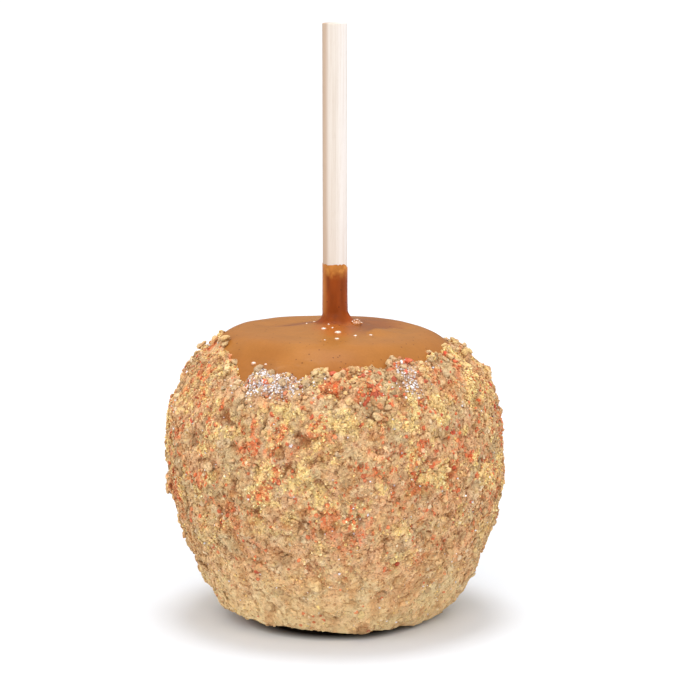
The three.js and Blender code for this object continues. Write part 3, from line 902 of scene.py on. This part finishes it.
def shard(direction, planes, rng):
    """A ball cut back by a few planes."""
    facing = unit(rng.normal(size=(planes, 3)))
    reach = rng.uniform(0.45, 0.85, planes)
    towards = np.maximum(direction @ facing.T, 1e-6)
    return np.minimum((reach / towards).min(1), 1.0) * rng.uniform(0.92, 1.08, len(direction))


def grain_shapes(variants, rng):
    """Tiny grains: eight-sided, each corner pulled in or out."""
    corners = np.concatenate([np.eye(3), -np.eye(3)])
    triangles = np.array([
        [0, 1, 2], [1, 3, 2], [3, 4, 2], [4, 0, 2], [1, 0, 5], [3, 1, 5], [4, 3, 5], [0, 4, 5],
    ])
    return corners * rng.uniform(0.6, 1.1, (variants, 6, 1)), triangles


UNDERSIDE_HEIGHT, UNDERSIDE_SHARE = 2.6, 0.15  # few crumbs lie on the underside, which is up to this high
DEGREE = 0.6  # millimetres along the shoulder


class Ground:
    """The crust's face as places to put crumbs on."""

    def __init__(self, points, depth, bare):
        across, up = np.roll(points, -1, axis=1)[:-1] - points[:-1], points[1:] - points[:-1]
        size = np.linalg.norm(np.cross(across, up), axis=-1)
        size[-1] = 0  # the lid
        share = np.where(points[:-1, :, 2] < UNDERSIDE_HEIGHT, UNDERSIDE_SHARE, 1)
        self.points, self.normals, self.depth = points, grid_normals(points), depth
        self.area = np.where(bare[:-1] < 0.55, size, 0) * share * (1 - 0.6 * depth[:-1])

    def pick(self, count, rng, weight=None):
        """Random places, as even as the area allows: point, normal and crevice depth."""
        area = self.area if weight is None else self.area * weight(self.points[:-1])
        total = np.cumsum(area.ravel())
        wanted = (np.arange(count) + rng.uniform(0, 1, count)) / count * total[-1]
        row, column = np.unravel_index(np.searchsorted(total, wanted), area.shape)
        after = (column + 1) % self.points.shape[1]
        u, v = rng.uniform(0, 1, (2, count, 1))
        low = lerp(self.points[row, column], self.points[row, after], u)
        high = lerp(self.points[row + 1, column], self.points[row + 1, after], u)
        return lerp(low, high, v), unit(self.normals[row, column]), self.depth[row, column]

    def at(self, azimuth, height):
        """The place nearest to an azimuth in degrees and a height: point, normal and crevice depth."""
        away = degrees_from(azimuth, azimuth_of(self.points))
        miss = (away * DEGREE) ** 2 + (self.points[..., 2] - height) ** 2
        row, column = np.unravel_index(miss.argmin(), miss.shape)
        return self.points[row, column], unit(self.normals[row, column]), self.depth[row, column]


def kept_apart(points, spacing):
    """Indices of points, taken in order, none closer than spacing to one taken before."""
    kept = [0]
    for index in range(1, len(points)):
        if (((points[kept] - points[index]) ** 2).sum(1) >= spacing**2).all():
            kept.append(index)
    return kept


def random_turns(count, rng):
    """count random rotation matrices."""
    quaternion = unit(rng.normal(size=(count, 4)))
    w, x, y, z = quaternion.T
    return np.stack([
        np.stack([1 - 2 * (y * y + z * z), 2 * (x * y - z * w), 2 * (x * z + y * w)], -1),
        np.stack([2 * (x * y + z * w), 1 - 2 * (x * x + z * z), 2 * (y * z - x * w)], -1),
        np.stack([2 * (x * z - y * w), 2 * (y * z + x * w), 1 - 2 * (x * x + y * y)], -1),
    ], -2)


def facing_turns(normals, rng):
    """Rotation matrices that stand Z on each normal, with a random spin about it."""
    helper = np.where(np.abs(normals[:, 2:]) < 0.9, (0, 0, 1), (1, 0, 0))
    across = unit(np.cross(helper, normals))
    along = np.cross(normals, across)
    spin = rng.uniform(0, tau, (len(normals), 1))
    first = across * np.cos(spin) + along * np.sin(spin)
    second = np.cross(normals, first)
    return np.stack([first, second, normals], -1)


def scatter(ground, rng, name, shapes, count, size, squash, sunk, tones, weight=None, apart=0.0,
            tumble=True, blend=0.0, shade=0.3, roughness=0.8, patchy=False, placed=()):
    """One joined mesh of small pieces lying on the crust.

    size is the least and greatest radius, squash the height as a share of the width, sunk the share of the
    height that lies in the crust, and blend how far each piece takes on the colour of the crumbs round it, as a
    whole or, where it is patchy, from point to point. placed is azimuth, height and radius of further pieces.
    """
    forms, triangles = shapes
    point, normal, depth = ground.pick(count, rng, weight)
    order = rng.permutation(count)
    if apart:
        order = order[kept_apart(point[order], apart)]
    point, normal, depth = point[order], normal[order], depth[order]
    radius = size[0] * (size[1] / size[0]) ** rng.uniform(0, 1, len(point))
    for azimuth, height, wide in placed:
        place, facing, low = ground.at(azimuth, height)
        point, normal, depth = np.vstack([point, place]), np.vstack([normal, facing]), np.append(depth, low)
        radius = np.append(radius, wide)
    count = len(point)
    pressed = lerp(0.5, 1.0, smoothstep(point[:, 2], 4, 30))
    flat = squash * pressed
    stretch = radius[:, None] * rng.uniform(0.8, 1.2, (count, 3))
    stretch[:, 2] *= flat
    variant = forms[rng.integers(0, len(forms), count)]
    if tumble:
        variant = np.einsum("nij,nvj->nvi", random_turns(count, rng), variant)
    middle = point + normal * (radius * flat * (1 - 2 * sunk))[:, None]
    variant = np.einsum("nij,nvj->nvi", facing_turns(normal, rng), variant * stretch[:, None])
    vertices = middle[:, None] + variant
    raised = np.einsum("nvj,nj->nv", vertices - point[:, None], normal) / (radius * flat)[:, None]
    colour = toned(tones, rng.uniform(0, 1, count))[:, None]
    around = crumb_colour(vertices) if patchy else crumb_colour(middle)[:, None]
    colour = lerp(colour, around, blend) * rng.uniform(0.84, 1.16, (count, 1, 1))
    # Painted shade: pieces lying in a crevice are darkened by its depth.
    colour = washed(colour, (CREVICE_CARAMEL_AND_SHADE, (0.5 * depth)[:, None]))
    colour = colour * (1 + 0.3 * pressed[:, None] ** 1.5 * noise(vertices, 0.7, 71))[..., None]
    # Painted shade: each piece is darker and warmer towards its foot where it sits in the crust; shade sets how
    # much.
    foot = 1 - shade * (1 - smoothstep(raised, -0.5, 0.9))
    painted_foot_shade = np.stack([foot, foot ** 1.3, foot ** 1.6], -1)
    inside = np.clip(vertices.reshape(-1, 3), (COAT_LOW[0], COAT_LOW[1], 0.0), COAT_HIGH)
    faces = (triangles[None] + (np.arange(count) * len(forms[0]))[:, None, None]).reshape(-1, 3)
    material = crumb_material(name, tones[0], roughness=roughness)
    made = make_object(name, inside, [faces], material, (colour * painted_foot_shade).reshape(-1, 3), smooth=False)
    add_crumb_values(made, point, lambda values: np.repeat(values, len(forms[0])), min(1, 1.5 * blend))
    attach(made, "root")


def yellow_places(points):
    """Yellow bits lie in clusters."""
    return upper(points) * (0.15 + 2 * smoothstep(noise(points, *YELLOW_CLUSTERS), 0, 0.4))


ORANGE_PATCH = (284, 4.5), (65, 2.2)  # azimuth and height, each with its half width


def orange_places(points):
    """So do orange ones, in upright streaks, with a thick patch near the rim."""
    places = np.degrees(azimuth_of(points)) % 360, points[..., 2]
    off = [((place - middle) / half) ** 2 for place, (middle, half) in zip(places, ORANGE_PATCH)]
    streaks = smoothstep(noise(points * STREAKED, *ORANGE_STREAKS), 0.05, 0.45)
    return upper(points) * (0.2 + 2 * streaks) + 8 * np.exp(-off[0] - off[1])


def beside_rim(points):
    """Nearest to the crumbs' upper edge."""
    return 0.01 + bell(edge_height(azimuth_of(points)) - points[..., 2], 0.8, 1.3)


def high_up(points):
    """Flakes are thickest near the crumbs' upper edge."""
    return 0.1 + smoothstep(points[..., 2], 44, 66)


def wet_places(points):
    """Sugar grains, near white as painted glints, where the crumbs are wet, and seldom elsewhere."""
    return 0.03 + 8 * wet_share(points) ** 2


RIM_FLAKES = (  # azimuth, height, radius of the flakes that stand out near the crumbs' upper edge
    (266, 68.8, 1.7), (269.5, 68.5, 1.4), (305, 70.4, 1.7), (309, 70.2, 1.4), (336, 71.8, 1.5),
    (285, 64.4, 1.4), (288, 63.6, 1.2), (282, 63.2, 1.0), (300, 68.6, 0.9), (284, 66.0, 1.0),
    (222, 66.5, 1.0), (318, 67.5, 1.0),
)


def add_crumbs(ground):
    """All loose crumbs and bits, in the order of the random draws."""
    rng = np.random.default_rng(11)
    clumps = ball_shapes(3, 24, cluster, 26, 0.3, rng)
    crumbs = ball_shapes(2, 32, cluster, 9, 0.44, rng)
    nibs = ball_shapes(1, 32, cluster, 4, 0.55, rng)
    shards = ball_shapes(2, 24, shard, 7, rng)
    chips = ball_shapes(1, 24, shard, 5, rng)
    grains = grain_shapes(40, rng)
    lay = partial(scatter, ground, rng)
    lay("crumb_clumps", clumps, 700, (1.2, 2.6), 0.5, 0.55, BISCUIT_TONES,
        apart=4.8, tumble=False, blend=0.75, shade=0.45, patchy=True)
    lay("crumbs_medium", crumbs, 1900, (0.6, 1.3), 0.7, 0.4, BISCUIT_TONES, blend=0.65, shade=0.4, patchy=True)
    lay("crumbs_rim", crumbs, 260, (0.8, 1.7), 0.75, 0.25, RIM_TONES,
        weight=beside_rim, apart=2.1, blend=0.35, shade=0.35, patchy=True)
    lay("crumbs_fine", nibs, 7600, (0.34, 0.75), 0.8, 0.35, BISCUIT_TONES, blend=0.6, shade=0.35)
    lay("crumbs_toasted", grains, 4000, (0.26, 0.6), 0.8, 0.3, TOASTED_TONES, blend=0.5)
    lay("crumbs_powder", grains, 15000, (0.16, 0.36), 0.9, 0.2, PALE_TONES, blend=0.65, shade=0.2)
    lay("bits_yellow", grains, 7000, (0.22, 0.55), 0.9, 0.25, YELLOW_TONES,
        weight=yellow_places, blend=0.3, shade=0.2)
    lay("bits_orange", chips, 1500, (0.28, 0.8), 0.6, 0.35, ORANGE_TONES,
        weight=orange_places, blend=0.2, roughness=0.6, patchy=True)
    lay("flakes_red", shards, 150, (0.4, 1.0), 0.4, 0.3, RED_TONES,
        weight=high_up, tumble=False, blend=0.2, roughness=0.35, patchy=True, placed=RIM_FLAKES)
    lay("bits_pale", nibs, 500, (0.45, 1.1), 0.7, 0.35, PALE_TONES, blend=0.3)
    # Partly painted highlight: near-white grains stand for glints on the wet crumbs, besides the sugar's own
    # pale colour.
    lay("bits_sugar", grains, 1300, (0.18, 0.52), 0.9, 0.15, SUGAR_AND_GLINT_TONES, weight=wet_places, roughness=0.25)


# ---------------- the stick

STICK_COLUMNS, STICK_ROWS, BEVEL_ROWS = 64, 58, 7
STICK_BEVEL = 0.35
STICK_WAVER = 0.004  # how far out of round it is, as a share of its radius


def add_stick():
    turn = np.linspace(0, pi / 2, BEVEL_ROWS)
    low, high = STICK_LOW[2], STICK_HIGH[2]
    inward, up = STICK_BEVEL * (1 - np.sin(turn)), STICK_BEVEL * (1 - np.cos(turn))
    bevel = np.stack([STICK_RADIUS - inward, low + up], -1)
    top_bevel = np.stack([bevel[::-1, 0], high - (bevel[::-1, 1] - low)], -1)
    along = np.linspace(low + STICK_BEVEL, high - STICK_BEVEL, STICK_ROWS + 2)[1:-1]
    shaft = np.stack([np.full(STICK_ROWS, STICK_RADIUS), along], -1)
    path = np.concatenate([[[0, low]], bevel, shaft, top_bevel, [[0, high]]])
    points = turned(path, STICK_COLUMNS)
    azimuth = azimuths(STICK_COLUMNS)
    points[..., :2] *= (1 - STICK_WAVER * (1 + np.sin(3 * azimuth + 0.05 * points[..., 2])))[..., None]
    vertices, faces = closed_grid(points)
    # Painted shade and light: the stick is darker on its left and paler on its right, where the key lamp falls.
    shaded_left, lit_right = smoothstep(-np.cos(azimuth), 0.35, 0.8), smoothstep(np.cos(azimuth), 0, 0.7)
    tint = washed(linear(WOOD), (WOOD_SHADE, shaded_left), (WOOD_LIT, lit_right))
    tint = grid_values(np.broadcast_to(tint, points.shape))
    stick = make_object("birch_stick", vertices, faces, wood_material(), tint)
    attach(stick, "root")
    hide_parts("stick")


# ---------------- floor, light and sky

FLOOR_SIZE = 12000
# Painted shadow: the floor is dark in an oval under the base.
FLOOR_COLOUR, FLOOR_SHADE = (0.79, 0.82, 0.86), (0.03, 0.025, 0.02)  # linear
SHADE_MIDDLE, SHADE_RADII, SHADE_NARROWING = (0, -1.5, 0), (22, 28.5), (0.87, 1, 1)

SKY = ((0, 0.15), (0.25, 0.36), (0.6, 0.9), (1, 0.98))  # height on the unit sphere, brightness
SUNS = (  # name, direction it shines from, strength, how wide it looks in degrees
    ("overhead", (-10, 55, 600), 1.27, 22),
    ("front", (-60, -500, 300), 0.74, 36),
    ("left", (-500, -200, 130), 0.84, 40),
)


def add_floor():
    """A white floor with a painted shadow under the crust's lifted rim."""
    corners = FLOOR_SIZE * np.array([[-1, -1, 0], [1, -1, 0], [1, 1, 0], [-1, 1, 0]], float)
    shader = Shader(bpy.data.materials.new("floor"), Roughness=0.9, Specular_IOR_Level=0.1)
    away = shader.add("ShaderNodeVectorMath", {0: shader.place(SHADE_NARROWING), 1: SHADE_MIDDLE},
                      operation="DISTANCE").outputs["Value"]
    tone = shader.ramp(shader.grey(away, *SHADE_RADII), (0, FLOOR_SHADE), (1, FLOOR_COLOUR))
    floor = make_object("floor", corners, [np.array([[0, 1, 2, 3]])], shader.set(Base_Color=tone), smooth=False)


def add_lamp(name, kind, place, aim, **settings):
    """A lamp at place that points at aim."""
    light = bpy.data.lights.new(name, kind)
    for key, value in settings.items():
        setattr(light, key, value)
    lamp = link_object(name, light)
    lamp.location = Vector(place) * MM
    lamp.rotation_euler = (Vector(aim) - Vector(place)).to_track_quat("-Z", "Y").to_euler()


def add_sky():
    """A white studio sky, darker towards the horizon."""
    bpy.context.scene.world = bpy.data.worlds.new("studio")
    nodes = Shader(bpy.context.scene.world)
    where = nodes.add("ShaderNodeTexCoord").outputs["Generated"]
    height = nodes.add("ShaderNodeSeparateXYZ", {0: where}).outputs["Z"]
    nodes.set("Background", Color=nodes.ramp(height, *((at, (level,) * 3) for at, level in SKY)), Strength=1)


def add_light():
    add_sky()
    add_lamp("key", "AREA", (480, -450, 300), (0, 0, 45),
             shape="RECTANGLE", size=280 * MM, size_y=560 * MM, energy=1)
    for name, place, strength, across in SUNS:
        add_lamp(name, "SUN", place, (0, 0, 0), energy=strength, angle=radians(across))
    bpy.context.scene.view_settings.view_transform = "Standard"


# ---------------- the scene

add_camera()
add_floor()
add_light()
add_caramel()
add_bubbles()
add_crumbs(add_crust())
add_stick()
